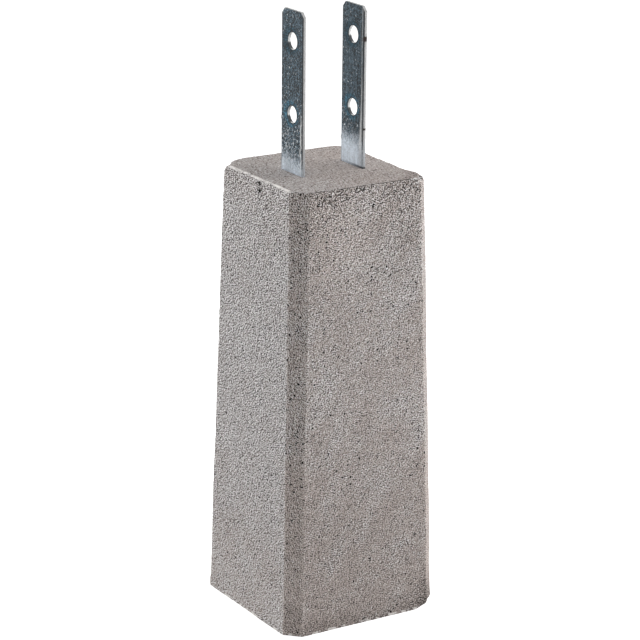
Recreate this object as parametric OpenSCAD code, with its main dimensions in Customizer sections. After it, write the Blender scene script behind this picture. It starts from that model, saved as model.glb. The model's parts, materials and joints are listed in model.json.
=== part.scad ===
// Concrete post plinth: a tapered cast block with two flat steel straps set in its top.
// A square timber post stands on the block between the straps, and bolts through
// the straps hold it. The origin is the centre of the base, and +Z is up.
// The straps stand apart along X, and their broad faces look along X.

/* [Concrete] */
// Side of the block's square base
base_side = 175; // [150:1:260]
// Side of the block's square top
top_side = 152; // [130:1:250]
// Height of the block
block_height = 450; // [250:5:900]
// Leg of the flat that takes off each of the block's four upright corners
corner_flat = 14; // [4:0.5:30]

/* [Straps] */
// Width of each flat strap
strap_width = 40; // [25:1:80]
// Thickness of each strap
strap_thickness = 3; // [2:0.5:8]
// Height of the straps above the block
strap_reach = 160; // [140:1:300]
// Length of the straps that is cast into the block
strap_embedment = 140; // [60:1:220]
// Leg of the cut that takes off each top corner of a strap
strap_corner_cut = 5; // [1:0.5:8]

/* [Post and bolts] */
// Side of the square post that stands between the straps
post_side = 65; // [40:1:80]
// Clearance between the post and each strap
post_clearance = 0.5; // [0:0.1:3]
// Diameter of the bolt holes in the straps
bolt_hole_d = 17; // [6:0.5:20]
// Distance between the two bolt holes of a strap
bolt_pitch = 72; // [40:1:80]
// Distance from a strap's top edge to the centre of its upper bolt hole
bolt_edge_distance = 30; // [15:1:40]

/* [Hidden] */

// Which side of the post a strap stands on, along X
LEFT = -1;
RIGHT = 1;

post_gap = post_side + 2 * post_clearance;
strap_centre_x = (post_gap + strap_thickness) / 2;
strap_length = strap_embedment + strap_reach;
strap_foot_z = block_height - strap_embedment;
strap_top_z = block_height + strap_reach;
upper_bolt_z = strap_top_z - bolt_edge_distance;
bolt_heights = [upper_bolt_z - bolt_pitch, upper_bolt_z];
hole_facets = 64;

// Distance across two opposite corner flats, for a square of the given side
function across_flats(side) = (side - corner_flat) * sqrt(2);

// Slab that stands on z = 0, as tall as the block. Its two broad faces lean in from
// the bottom width to the top width, and it is turned about Z by the given angle.
module leaning_slab(bottom_width, top_width, turn) {
    outline = [
        [-bottom_width / 2, 0],
        [bottom_width / 2, 0],
        [top_width / 2, block_height],
        [-top_width / 2, block_height]
    ];
    rotate([90, 0, turn])
    linear_extrude(height = 2 * (base_side + top_side), center = true)
    polygon(outline);
}

// The whole block without its strap slots: two slabs give the four sides,
// and two slabs turned by 45 degrees give the four corner flats.
module solid_block() {
    intersection() {
        leaning_slab(base_side, top_side, 0);
        leaning_slab(base_side, top_side, 90);
        leaning_slab(across_flats(base_side), across_flats(top_side), 45);
        leaning_slab(across_flats(base_side), across_flats(top_side), 135);
    }
}

// One strap before drilling: a straight flat bar with both top corners cut off
module strap_blank(side) {
    half_width = strap_width / 2;
    shoulder = strap_length - strap_corner_cut;
    outline = [
        [-half_width, 0],
        [half_width, 0],
        [half_width, shoulder],
        [half_width - strap_corner_cut, strap_length],
        [strap_corner_cut - half_width, strap_length],
        [-half_width, shoulder]
    ];
    translate([side * strap_centre_x, 0, strap_foot_z])
    rotate([90, 0, 90])
    linear_extrude(height = strap_thickness, center = true)
    polygon(outline);
}

// The holes that a strap's bolts pass through
module bolt_holes(side) {
    for (height = bolt_heights)
        translate([side * strap_centre_x, 0, height])
        rotate([0, 90, 0])
        cylinder(h = 2 * strap_thickness, d = bolt_hole_d, center = true, $fn = hole_facets);
}

// Cast block, closed face to face round the buried ends of the straps
module concrete_plinth() {
    color([0.62, 0.60, 0.57])
    difference() {
        solid_block();
        strap_blank(LEFT);
        strap_blank(RIGHT);
    }
}

// Galvanised strap on the given side of the post
module strap(side) {
    color([0.42, 0.46, 0.49])
    difference() {
        strap_blank(side);
        bolt_holes(side);
    }
}

concrete_plinth();
strap(LEFT);  // strap_left
strap(RIGHT);  // strap_right
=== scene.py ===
"""Concrete post plinth, dressed: the cast block, its two galvanised straps and a plain studio stage."""

import json
import math
import random

import bpy
import numpy as np
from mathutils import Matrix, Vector, geometry, kdtree, noise


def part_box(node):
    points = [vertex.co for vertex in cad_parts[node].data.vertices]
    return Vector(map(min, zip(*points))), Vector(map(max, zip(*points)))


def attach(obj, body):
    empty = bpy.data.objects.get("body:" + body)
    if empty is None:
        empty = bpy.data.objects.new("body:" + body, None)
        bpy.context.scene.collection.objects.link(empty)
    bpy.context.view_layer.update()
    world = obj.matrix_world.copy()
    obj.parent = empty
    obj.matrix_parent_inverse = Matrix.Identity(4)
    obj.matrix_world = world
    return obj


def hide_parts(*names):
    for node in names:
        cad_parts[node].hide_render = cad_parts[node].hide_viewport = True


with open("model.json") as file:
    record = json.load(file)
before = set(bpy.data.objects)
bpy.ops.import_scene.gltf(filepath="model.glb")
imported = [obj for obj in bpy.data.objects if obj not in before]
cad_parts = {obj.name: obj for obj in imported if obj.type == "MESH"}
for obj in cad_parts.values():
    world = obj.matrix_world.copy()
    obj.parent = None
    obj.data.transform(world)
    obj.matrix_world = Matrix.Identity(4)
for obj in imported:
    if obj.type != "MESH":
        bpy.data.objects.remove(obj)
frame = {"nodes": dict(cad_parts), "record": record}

bl_info = {
    "name": "Concrete Post Plinth",
    "version": (1, 0, 0),
    "blender": (4, 5, 0),
    "location": "View3D > Sidebar > Plinth",
    "description": "Builds a concrete post plinth with galvanised straps, and a stage for it",
    "category": "Add Mesh",
}

ROOT = "root"
MM = 0.001

BLOCK_LOW, BLOCK_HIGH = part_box("concrete_plinth")
BLOCK_CORNERS = np.array([tuple(v.co) for v in frame["nodes"]["concrete_plinth"].data.vertices])
TOP_HALF = BLOCK_CORNERS[BLOCK_CORNERS[:, 2] > 0.99 * BLOCK_HIGH.z, 0].max()
STRAP_LOW, STRAP_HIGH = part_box("strap_left")
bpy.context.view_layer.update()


# ---------------------------------------------------------------- settings


def length_setting(name, description, default, least=0.0):
    """A length that a user can change."""
    return bpy.props.FloatProperty(
        name=name, description=description, default=default, min=least, subtype="DISTANCE"
    )


def color_setting(name, description, default):
    """A colour that a user can change."""
    return bpy.props.FloatVectorProperty(
        name=name, description=description, default=default, min=0.0, max=1.0, subtype="COLOR"
    )


def angle_setting(name, description, degrees):
    """An angle that a user can change."""
    return bpy.props.FloatProperty(
        name=name, description=description, default=math.radians(degrees), subtype="ANGLE"
    )


def power_setting(name, description, default):
    """A lamp's power that a user can change."""
    return bpy.props.FloatProperty(name=name, description=description, default=default, subtype="POWER")


class PlinthBlockSettings(bpy.types.PropertyGroup):
    """Sizes and colours of the cast block."""

    row_fine: length_setting(
        "Finest row", "Height of the mesh rows along the top and bottom rims", 1.2 * MM, 0.5 * MM
    )
    row_coarse: length_setting(
        "Coarsest row", "Height of the mesh rows low on the block", 2.4 * MM, 0.5 * MM
    )
    column: length_setting(
        "Column width", "Width of the mesh columns round the block", 1.9 * MM, 0.5 * MM
    )
    rim_radius: length_setting(
        "Rim radius", "Rounding of the edges round the top face", 1.0 * MM, 0.1 * MM
    )
    grain_relief: length_setting(
        "Grain relief", "How far the sand grains stand proud of the cement", 0.22 * MM
    )
    pits: bpy.props.IntProperty(
        name="Pits", description="Number of air pits modelled in the sides", default=900, min=0
    )
    cool: color_setting("Cool cement", "Colour of the greyer cement", (0.366, 0.357, 0.356))
    warm: color_setting("Warm cement", "Colour of the browner cement", (0.372, 0.322, 0.298))
    # Painted shade deep inside the pits and torn hollows
    cavity: color_setting("Cavity", "Colour deep inside the pits", (0.050, 0.040, 0.034))
    burr: color_setting("Burr", "Colour of the thin burr of cement along one rim", (0.92, 0.89, 0.86))


class PlinthStrapSettings(bpy.types.PropertyGroup):
    """Sizes and colours of the galvanised straps."""

    cell: length_setting(
        "Mesh cell", "Spacing of the mesh over a strap's broad faces", 1.3 * MM, 0.3 * MM
    )
    edge_radius: length_setting(
        "Edge radius", "Rounding of the rolled edges and of the hole rims", 0.35 * MM, 0.1 * MM
    )
    bead_height: length_setting(
        "Bead height", "How far the run of zinc beside a strap's edge stands proud", 0.35 * MM
    )
    dull: color_setting("Dull zinc", "Colour of the weathered zinc", (0.0215, 0.0315, 0.0395))
    # Colour of the clean zinc runs, also used as a painted highlight on the narrow edges and the hole bores
    bright: color_setting(
        "Bright zinc", "Colour of the thick, clean zinc on the edges", (0.34, 0.34, 0.34)
    )
    fleck: color_setting(
        "Zinc fleck", "Colour of the small white flecks on the broad faces", (0.40, 0.42, 0.44)
    )
    ring: color_setting(
        "Hole ring", "Colour of the thick, blue-grey zinc round the holes", (0.006, 0.021, 0.031)
    )
    # Tint of the pale haze at a strap's foot: a painted reflection of the concrete top
    block_reflection: color_setting(
        "Cement bloom", "Colour of the pale haze at the foot of a strap", (0.61, 0.67, 0.735)
    )
    rust: color_setting("Rust", "Colour of the rust spots", (0.022, 0.012, 0.009))


class PlinthStageSettings(bpy.types.PropertyGroup):
    """Camera, lamps and floor."""

    azimuth: angle_setting("Azimuth", "Direction that the camera stands in, round the plinth", -31.83)
    elevation: angle_setting("Elevation", "Height of the camera above the horizon", 17.49)
    roll: angle_setting("Roll", "Turn of the camera about its own axis", 0.56)
    distance: length_setting(
        "Distance", "Distance from the camera to the point that it looks at", 2.661
    )
    lens: bpy.props.FloatProperty(
        name="Focal length",
        description="Focal length of the camera, in millimetres",
        default=148.97,
        subtype="DISTANCE_CAMERA",
    )
    aim: bpy.props.FloatVectorProperty(
        name="Aim",
        description="Point that the camera looks at",
        default=(0.0090, 0.0177, 0.2879),
        subtype="XYZ",
    )
    left_lamp: power_setting("Left lamp", "Power of the soft lamp on the left", 38.0)
    right_lamp: power_setting("Right lamp", "Power of the soft lamp on the right", 56.0)
    top_lamp: power_setting("Top lamp", "Power of the soft lamp overhead", 40.0)
    sky: bpy.props.FloatProperty(
        name="Sky", description="Strength of the even light from all sides", default=0.25, min=0.0
    )


# ---------------------------------------------------------------- shapes


def smooth_step(low, high, value):
    """0 below low, 1 above high, and a smooth rise between; works on arrays."""
    t = np.clip((np.asarray(value, float) - low) / (high - low), 0.0, 1.0)
    return t * t * (3.0 - 2.0 * t)


def fractal_at(points, size, octaves, offset):
    """Fractal noise of about -1 to 1 whose largest lumps are size across."""
    shift = Vector((offset, 1.7 * offset, 2.3 * offset))
    return np.array([noise.fractal(Vector(p) / size + shift, 0.6, 2.1, octaves) for p in points])


# Width of the mesh columns beside each upright arris
ARRIS = 0.7 * MM
# Heights of the bands of finest rows, below the top and above the foot
FINE_TOP = 15 * MM
FINE_FOOT = 9 * MM
# Two places closer than this are the same
CLOSE = 0.01 * MM
# The flat on the corner towards +X and -Y, as a share of the other three
SMALL_FLAT = 0.85


def octagon(half_side, flat):
    """Corners of a square whose own corners are cut by flats, from the +X face round to the left."""
    inner = half_side - flat
    small = half_side - SMALL_FLAT * flat
    return np.array(
        [
            (half_side, -small),
            (half_side, inner),
            (inner, half_side),
            (-inner, half_side),
            (-half_side, inner),
            (-half_side, -inner),
            (-inner, -half_side),
            (small, -half_side),
        ]
    )


def spread(start, end, count):
    """count points from start up to, but without, end."""
    share = np.arange(count)[:, None] / count
    return start + (end - start) * share


def spread_tight(start, end, count, margin):
    """count points as spread gives them, with the first and last steps only margin long."""
    inset = (end - start) * margin / np.linalg.norm(end - start)
    return np.vstack([start, spread(start + inset, end - inset, count - 2), end - inset])


def walk(corners, count_for):
    """Points round a closed outline; count_for gives the number of steps on a side of some length."""
    points = []
    for index, corner in enumerate(corners):
        start = np.array(corner)
        end = np.array(corners[(index + 1) % len(corners)])
        points.append(spread(start, end, count_for(np.linalg.norm(end - start))))
    return np.vstack(points)


def ring(corners, face_columns, flat_columns):
    """Points round an octagon, counter-clockwise: faces and flats take turns."""
    parts = []
    for side in range(len(corners)):
        count = flat_columns if side % 2 else face_columns
        parts.append(spread_tight(corners[side], corners[(side + 1) % len(corners)], count, ARRIS))
    return np.vstack(parts)


def ring_normals(points):
    """Outward directions of a counter-clockwise ring, from each point's two neighbours."""
    along = np.roll(points, -1, axis=0) - np.roll(points, 1, axis=0)
    outward = np.column_stack([along[:, 1], -along[:, 0]])
    return outward / np.linalg.norm(outward, axis=1)[:, None]


def row_heights(height, fine, coarse):
    """Heights of the mesh rows from the top down: fine at both rims, coarse low on the sides."""
    heights = [0.0]
    while heights[-1] < height:
        depth = heights[-1]
        growth = smooth_step(FINE_TOP, 0.45 * height, depth)
        step = fine + (coarse - fine) * growth
        if height - depth < FINE_FOOT:
            step = fine
        heights.append(depth + step)
    rows = np.array(heights) * (height / heights[-1])
    return height - rows


def add_mesh(name, vertices, faces, materials):
    """A smooth-shaded mesh object from plain vertices and faces."""
    mesh = bpy.data.meshes.new(name)
    mesh.from_pydata([tuple(v) for v in vertices], [], [tuple(int(i) for i in f) for f in faces])
    mesh.validate()
    for material in materials:
        mesh.materials.append(material)
    mesh.polygons.foreach_set("use_smooth", np.ones(len(mesh.polygons), bool))
    mesh.update()
    thing = bpy.data.objects.new(name, mesh)
    bpy.context.scene.collection.objects.link(thing)
    return thing


def set_attribute(thing, name, values):
    """Stores one number for each vertex of a mesh under a name that materials can read."""
    layer = thing.data.attributes.new(name, "FLOAT", "POINT")
    layer.data.foreach_set("value", np.asarray(values, np.float32))


def triangulate(loops, inner):
    """Triangles between closed loops of 2D points, outer loop first, with more points inside."""
    points = [Vector(p) for loop in loops for p in loop]
    edges = []
    start = 0
    for loop in loops:
        count = len(loop)
        edges += [(start + i, start + (i + 1) % count) for i in range(count)]
        start += count
    points += [Vector(p) for p in inner]
    made, _, triangles, sources, _, _ = geometry.delaunay_2d_cdt(points, edges, [], 1, 1e-9)
    if len(made) != len(points):
        raise RuntimeError("the points of a flat face ran together")
    order = [source[0] for source in sources]
    return [tuple(order[i] for i in triangle) for triangle in triangles]


def counter_clockwise(triangles, points):
    """The same triangles, all turned the same way round."""
    turned = []
    for a, b, c in triangles:
        ab = points[b] - points[a]
        ac = points[c] - points[a]
        turned.append((a, b, c) if ab[0] * ac[1] - ab[1] * ac[0] > 0 else (a, c, b))
    return turned


# ---------------------------------------------------------------- concrete block

# Rounding of the top end of each corner flat, by the flat's direction (x, y)
FLAT_ROUNDING = {(1, 1): 3.5 * MM, (-1, 1): 9.0 * MM, (-1, -1): 0.8 * MM, (1, -1): 8.0 * MM}
# Rounding of the bottom end of each corner flat
FOOT_ROUNDING = {(1, 1): 4.0 * MM, (-1, 1): 1.5 * MM, (-1, -1): 2.0 * MM, (1, -1): 11.0 * MM}
# Rounding of the foot between the corner flats
FOOT_RADIUS = 1.0 * MM
# Two deep pits at the head of a hairline crack high on the -X face: y, depth below the top, radius
CRACK_PITS = [(-6.1 * MM, 4.0 * MM, 1.9 * MM), (-6.6 * MM, 11.2 * MM, 2.0 * MM)]
# The crack's foot: y and depth below the top
CRACK_FOOT = (-3.0 * MM, 36.0 * MM)
# Steps of the mesh round the edges of the slots, and over the base
SLOT_STEP = 2.2 * MM
BASE_STEP = 6.0 * MM
# Start of the random draws that place the air pits
PIT_SEED = 7


class Block:
    """Works out the cast block's mesh: rows and columns on the sides, triangles on the two ends."""

    def __init__(self, settings):
        self.settings = settings
        self.height = BLOCK_HIGH.z
        top = BLOCK_CORNERS[BLOCK_CORNERS[:, 2] > self.height - CLOSE]
        self.base_half = BLOCK_HIGH.x
        self.top_half = top[:, 0].max()
        on_face = top[np.isclose(top[:, 0], self.top_half, atol=CLOSE)]
        self.flat = self.top_half - on_face[:, 1].max()
        face_width = 2 * (self.base_half - self.flat)
        self.face_columns = round(face_width / settings.column) + 2
        self.flat_columns = round(self.flat * math.sqrt(2) / settings.column) + 2
        self.rows = row_heights(self.height, settings.row_fine, settings.row_coarse)
        self.columns = 4 * (self.face_columns + self.flat_columns)
        self.slots = [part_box("strap_left"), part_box("strap_right")]
        corners = octagon(self.top_half, self.flat)
        self.top_ring = ring(corners, self.face_columns, self.flat_columns)
        self.base_ring = ring(octagon(self.base_half, self.flat), self.face_columns, self.flat_columns)
        self.normals = ring_normals(self.top_ring)
        self.to_arris = np.linalg.norm(self.top_ring[:, None] - corners[None], axis=2).min(1)
        self.top_radius = self.corner_rounding(self.top_ring, FLAT_ROUNDING, settings.rim_radius)
        self.base_radius = self.corner_rounding(self.base_ring, FOOT_ROUNDING, FOOT_RADIUS)

    def half_at(self, height):
        """Half of the block's side at a height."""
        return self.base_half + (self.top_half - self.base_half) * height / self.height

    def corner_rounding(self, points, table, plain):
        """Rounding at each rim point: plain along the faces, and the table's radius at the flats."""
        radius = np.full(len(points), plain)
        half = np.abs(points).max()
        middle = half - self.flat / 2
        for (x, y), amount in table.items():
            away = np.linalg.norm(points - np.array([x, y]) * middle, axis=1)
            radius += max(0.0, amount - plain) * (1 - smooth_step(0.35 * self.flat, 1.6 * self.flat, away))
        return radius

    def side_vertices(self):
        """Vertices of the sides, row by row from the top, with the rims rounded."""
        rows = []
        for height in self.rows:
            share = height / self.height
            flat_ring = self.base_ring + (self.top_ring - self.base_ring) * share
            top_inset, drop = rounded(self.height - height, self.top_radius)
            base_inset, lift = rounded(height, self.base_radius)
            inset = top_inset + base_inset
            place = flat_ring - self.normals * inset[:, None]
            level = height - drop + lift
            rows.append(np.column_stack([place, level]))
        return np.vstack(rows)


def rounded(away, radius):
    """Inset and drop of a point that lies away from a square edge, once radius rounds that edge."""
    share = 1.0 - 1.0 / math.sqrt(2.0)
    inside = away < radius
    drop = np.where(inside, share * (radius - away), 0.0)
    depth = np.where(inside, away + drop, radius)
    inset = radius - np.sqrt(np.maximum(radius**2 - (radius - depth) ** 2, 0.0))
    return inset, drop


def point_grid(half, step, keep_out):
    """Staggered points over a square of 2 * half, without those that keep_out refuses."""
    points = []
    row_step = step * math.sqrt(3) / 2
    count = int(half / row_step) + 1
    for row in range(-count, count + 1):
        y = row * row_step
        shift = 0.5 * step * (row % 2)
        across = int(half / step) + 1
        for column in range(-across, across + 1):
            point = np.array([column * step + shift, y])
            if not keep_out(point):
                points.append(point)
    return points


def slot_outline(low, high):
    """Points round the edge of a slot, clockwise."""
    corners = [(low.x, low.y), (low.x, high.y), (high.x, high.y), (high.x, low.y)]
    return walk(corners, lambda length: max(2, math.ceil(length / SLOT_STEP)))


def side_faces(rows, columns):
    """Quads between the rows of the sides."""
    faces = []
    for row in range(rows - 1):
        for column in range(columns):
            a = row * columns + column
            b = row * columns + (column + 1) % columns
            faces.append((a, a + columns, b + columns, b))
    return faces


def round_rim(block, points):
    """Points of the top face as vertices, lowered where the rounding of the rim reaches them."""
    tree = kdtree.KDTree(block.columns)
    for index, point in enumerate(block.top_ring):
        tree.insert((*point, 0.0), index)
    tree.balance()
    place = points.copy()
    level = np.full(len(points), block.height)
    for index, point in enumerate(points):
        _, column, away = tree.find((*point, 0.0))
        radius = block.top_radius[column]
        if away < radius:
            drop, shift = rounded(np.array(away), np.array(radius))
            place[index] = point - block.normals[column] * float(shift)
            level[index] -= float(drop)
    return np.column_stack([place, level])


def top_face(block, slot_loops, start):
    """Vertices, counted on from start, and triangles between the rim and the edges of the two slots."""
    column = block.settings.column
    half = block.top_half
    gap = 0.7 * column

    def in_slot(point, margin):
        return any(
            low.x - margin < point[0] < high.x + margin and low.y - margin < point[1] < high.y + margin
            for low, high in block.slots
        )

    def off_top(point):
        outside = max(abs(point[0]), abs(point[1])) > half - gap
        past_flat = abs(point[0]) + abs(point[1]) > 2 * half - block.flat - 1.4 * gap
        return outside or past_flat or in_slot(point, 0.6 * column)

    inner = point_grid(half, column, off_top)
    loops = [block.top_ring, *slot_loops]
    points = np.vstack([*loops, np.array(inner)])
    triangles = counter_clockwise(triangulate(loops, inner), points)
    triangles = [t for t in triangles if not in_slot(points[list(t)].mean(0), 0.0)]
    rim = block.columns
    faces = [tuple(i if i < rim else start + i - rim for i in triangle) for triangle in triangles]
    return round_rim(block, points[rim:]), faces


def slot_walls(block, slot_loops, edge, start):
    """Floors of the slots, counted on from start, and the walls down to them from the loops at edge."""
    floors = []
    faces = []
    for loop, (low, _) in zip(slot_loops, block.slots):
        count = len(loop)
        floors.append(np.column_stack([loop, np.full(count, low.z)]))
        for index in range(count):
            after = (index + 1) % count
            faces.append((edge + after, edge + index, start + index, start + after))
        faces.append(tuple(start + index for index in reversed(range(count))))
        edge += count
        start += count
    return np.vstack(floors), faces


def base_face(block, rim_start, start):
    """Vertices, counted on from start, and coarse triangles that close the lowest ring."""
    half = block.base_half

    def off_base(point):
        outside = max(abs(point[0]), abs(point[1])) > half - 0.6 * BASE_STEP
        return outside or abs(point[0]) + abs(point[1]) > 2 * half - block.flat - BASE_STEP

    inner = point_grid(half, BASE_STEP, off_base)
    points = np.vstack([block.base_ring, np.array(inner)])
    triangles = counter_clockwise(triangulate([block.base_ring], inner), points)
    rim = block.columns
    faces = [
        tuple(rim_start + i if i < rim else start + i - rim for i in reversed(triangle))
        for triangle in triangles
    ]
    return np.column_stack([inner, np.zeros(len(inner))]), faces


def build_block(settings, material):
    """The cast block as one closed mesh."""
    block = Block(settings)
    columns = block.columns
    rows = len(block.rows)
    slot_loops = [slot_outline(low, high) for low, high in block.slots]

    sides = block.side_vertices()
    top_start = len(sides)
    top, top_faces = top_face(block, slot_loops, top_start)
    floor_start = top_start + len(top)
    floors, slot_faces = slot_walls(block, slot_loops, top_start, floor_start)
    base, base_faces = base_face(block, top_start - columns, floor_start + len(floors))
    vertices = np.vstack([sides, top, floors, base])
    faces = side_faces(rows, columns) + top_faces + slot_faces + base_faces

    index = np.arange(len(vertices))
    side_part = index < top_start
    top_part = (index >= top_start) & (index < floor_start)
    slot_part = top_part & (index < top_start + sum(len(loop) for loop in slot_loops))
    normals = np.zeros((len(vertices), 3))
    normals[side_part, :2] = np.tile(block.normals, (rows, 1))
    normals[top_part, 2] = 1.0
    normals[:columns, 2] = 0.6

    shift, cavity, burr = weather(block, vertices, normals, side_part, top_part, slot_part)
    vertices = vertices + shift
    vertices[:, 0] = np.clip(vertices[:, 0], BLOCK_LOW.x, BLOCK_HIGH.x)
    vertices[:, 1] = np.clip(vertices[:, 1], BLOCK_LOW.y, BLOCK_HIGH.y)
    vertices[:, 2] = np.maximum(vertices[:, 2], 0.0)

    thing = add_mesh("concrete_block", vertices, faces, [material])
    set_attribute(thing, "cavity", cavity)
    set_attribute(thing, "rim", burr)
    arris = np.zeros(len(vertices))
    arris[side_part] = np.tile(1 - smooth_step(0.8 * MM, 2.4 * MM, block.to_arris), rows)
    set_attribute(thing, "arris", arris)
    return thing


def droop(block, vertices):
    """How far the top is worn down towards the middle of its +X rim."""
    half = block.top_half
    x, y, z = vertices.T
    near_top = smooth_step(block.height - 40 * MM, block.height, z)
    along = smooth_step(-1.0 * half, -0.3 * half, y) * (1 - smooth_step(0.45 * half, 0.95 * half, y))
    towards_right = smooth_step(0.50 * half, 1.0 * half, x) * (0.12 + 0.88 * along)
    return 3.4 * MM * towards_right * near_top


def cast_relief(block, vertices, lumps, side_part, top_part):
    """How far each vertex stands out for the waves, lumps and grain of the cast surface."""
    height = vertices[:, 2]
    waves = fractal_at(vertices, 70 * MM, 2, 3.0)
    grain = fractal_at(vertices, 2.6 * MM, 1, 21.0)
    coarse = 0.55 + 0.9 * (1 - smooth_step(12 * MM, 90 * MM, block.height - height))
    hollow = smooth_step(5 * MM, 14 * MM, height) * (1 - smooth_step(30 * MM, 110 * MM, height))
    amount = np.where(side_part, 0.45 * MM * waves + 0.16 * MM * lumps * coarse, 0.0)
    amount += np.where(side_part, block.settings.grain_relief * grain * coarse, 0.0)
    amount -= np.where(side_part, 0.7 * MM * hollow, 0.0)
    amount += np.where(top_part, 0.22 * MM * waves + 0.07 * MM * lumps + 0.05 * MM * grain, 0.0)
    return amount


def dig_pits(block, vertices, side_part, amount, cavity):
    """Sinks the air pits and the two pits of the crack into amount, and marks them in cavity, which paints
    shade into the pits.
    """
    rng = random.Random(PIT_SEED)
    side_indices = np.flatnonzero(side_part)
    tree = kdtree.KDTree(len(vertices))
    for index in side_indices:
        tree.insert(vertices[index], int(index))
    tree.balance()

    def dig(centre, radius, deep):
        for _, index, away in tree.find_range(centre, radius):
            fall = (1 - (away / radius) ** 2) ** 2
            amount[index] -= deep * fall
            cavity[index] = max(cavity[index], fall)

    for _ in range(block.settings.pits):
        index = int(side_indices[rng.randrange(len(side_indices))])
        if block.to_arris[index % block.columns] < 3 * MM:
            continue
        high = 1 - float(smooth_step(15 * MM, 120 * MM, block.height - vertices[index, 2]))
        radius = (1.1 + 1.0 * rng.random() ** 2 + 0.9 * high * rng.random()) * MM
        dig(vertices[index], radius, radius * (0.35 + 0.35 * rng.random()))

    for y, below, radius in CRACK_PITS:
        level = block.height - below
        dig(Vector((-block.half_at(level), y, level)), 1.6 * radius, 1.4 * MM)


def rim_damage(block, vertices, lumps, side_part):
    """Where the burr stands along the -X rim, and where the other rims are torn; each 0 to 1."""
    half, flat = block.top_half, block.flat
    x, y, z = vertices.T
    depth = block.height - z
    near_left = smooth_step(half - 4.5 * MM, half - 2.0 * MM, -x)
    inside = smooth_step(-half + 0.6 * flat, -half + 1.3 * flat, y)
    before = 1 - smooth_step(half - 1.9 * flat, half - flat, y)
    near_rim = 1 - smooth_step(0.0, 2.2 * MM, depth)
    burr = near_rim * near_left * inside * before * (0.75 + 0.35 * lumps)
    crumble = fractal_at(vertices, 4.5 * MM, 2, 33.0)
    torn = smooth_step(0.15, 0.75, crumble) * (1 - smooth_step(1.0 * MM, 6 * MM, depth))
    return burr, torn * side_part * (1 - near_left)


def open_slots(block, vertices, slot_part, shift):
    """Draws the edges of the slots unevenly outward and a little down."""
    slot_noise = fractal_at(vertices, 6 * MM, 2, 51.0)
    open_up = (0.35 + 0.25 * slot_noise) * MM
    for low, high in block.slots:
        middle = np.array([(low.x + high.x) / 2, (low.y + high.y) / 2])
        near = slot_part & (np.abs(vertices[:, 0] - middle[0]) < 4 * MM)
        outward = np.sign(vertices[:, :2] - middle)
        shift[near, :2] += (outward * open_up[:, None])[near]
        shift[near, 2] -= 0.25 * MM


def weather(block, vertices, normals, side_part, top_part, slot_part):
    """How far each vertex moves as the block is worn, how deep in a pit or torn hollow it lies for the
    painted shade there, and where the burr is.
    """
    depth = block.height - vertices[:, 2]
    lumps = fractal_at(vertices, 11 * MM, 2, 9.0)
    amount = cast_relief(block, vertices, lumps, side_part, top_part)
    cavity = np.zeros(len(vertices))
    dig_pits(block, vertices, side_part, amount, cavity)
    burr, torn = rim_damage(block, vertices, lumps, side_part)
    amount -= 0.8 * MM * torn
    cavity = np.maximum(cavity, 0.5 * torn * smooth_step(0.5 * MM, 2.5 * MM, depth))

    shift = normals * amount[:, None]
    shift[:, 2] -= droop(block, vertices) * (side_part | top_part)
    shift[:, 2] += 0.7 * MM * burr
    shift[:, 0] -= 0.25 * MM * burr
    shift[:, 2] -= 0.5 * MM * torn * (1 - smooth_step(0.0, 2.2 * MM, depth))
    open_slots(block, vertices, slot_part, shift)
    return shift, cavity, burr


# ---------------------------------------------------------------- straps

# Mesh points round the rim of a bolt hole
HOLE_POINTS = 56
# Distance of the zinc run from the strap's front edge
RUN_INSET = 3.4 * MM


def strap_outline(width, length, cut, step):
    """Points round a strap's broad face, counter-clockwise from its lower front corner."""
    half = width / 2
    corners = [
        (-half, 0.0),
        (half, 0.0),
        (half, length - cut),
        (half - cut, length),
        (cut - half, length),
        (-half, length - cut),
    ]
    return walk(corners, lambda side: max(3, round(side / step)))


def circle(centre, radius, count):
    """Points round a circle, clockwise, as the rim of a hole is."""
    turns = -2 * math.pi * np.arange(count) / count
    return np.column_stack([centre[0] + radius * np.cos(turns), centre[1] + radius * np.sin(turns)])


class StrapShape:
    """Sizes of a strap, read from the frame."""

    def __init__(self, node_name):
        low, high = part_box(node_name)
        self.low = low
        self.centre_x = (low.x + high.x) / 2
        self.thickness = high.x - low.x
        self.width = high.y - low.y
        self.length = high.z - low.z
        points = np.array([tuple(v.co) for v in frame["nodes"][node_name].data.vertices])
        at_top = points[points[:, 2] > high.z - CLOSE]
        self.cut = self.width / 2 - at_top[:, 1].max()
        mounts = {mount["name"]: mount for mount in frame["record"]["mounts"]}
        pattern = mounts["post_bolts_" + node_name.rsplit("_", 1)[1]]
        half_pitch = pattern["dims"]["spacing_y_mm"] * MM / 2
        middle = pattern["pos_m"][2]
        self.hole_radius = pattern["dims"]["hole_r_mm"] * MM
        self.hole_heights = [middle - half_pitch, middle + half_pitch]
        self.bead_y = RUN_INSET - self.width / 2

    def near_hole(self, place, margin):
        """Whether a place, measured across and up from the foot, is in a hole or within margin of one."""
        return any(
            math.hypot(place[0], place[1] + self.low.z - z) < self.hole_radius + margin
            for z in self.hole_heights
        )


def rounded_edges(shape, loops, directions, radii, flat_count):
    """Rings of vertices over each loop's rounded edge, from one broad face to the other, and their quads."""
    half = shape.thickness / 2
    arc = [math.radians(degrees) for degrees in (30, 60, 90)]
    rings = []
    faces = []
    start = 0
    total = 2 * flat_count
    for loop, way, radius in zip(loops, directions, radii):
        profile = [(-half + radius * (1 - math.cos(a)), radius * math.sin(a) - radius) for a in arc]
        profile += [(-x, out) for x, out in reversed(profile)]
        size = len(loop)
        previous = np.arange(start, start + size)
        for x, out in profile:
            place = loop + way * out
            rings.append(np.column_stack([np.full(size, x), place[:, 0], place[:, 1] + shape.low.z]))
            current = np.arange(total, total + size)
            faces += join_rings(previous, current)
            previous = current
            total += size
        faces += join_rings(previous, np.arange(flat_count + start, flat_count + start + size))
        start += size
    return rings, faces


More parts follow.
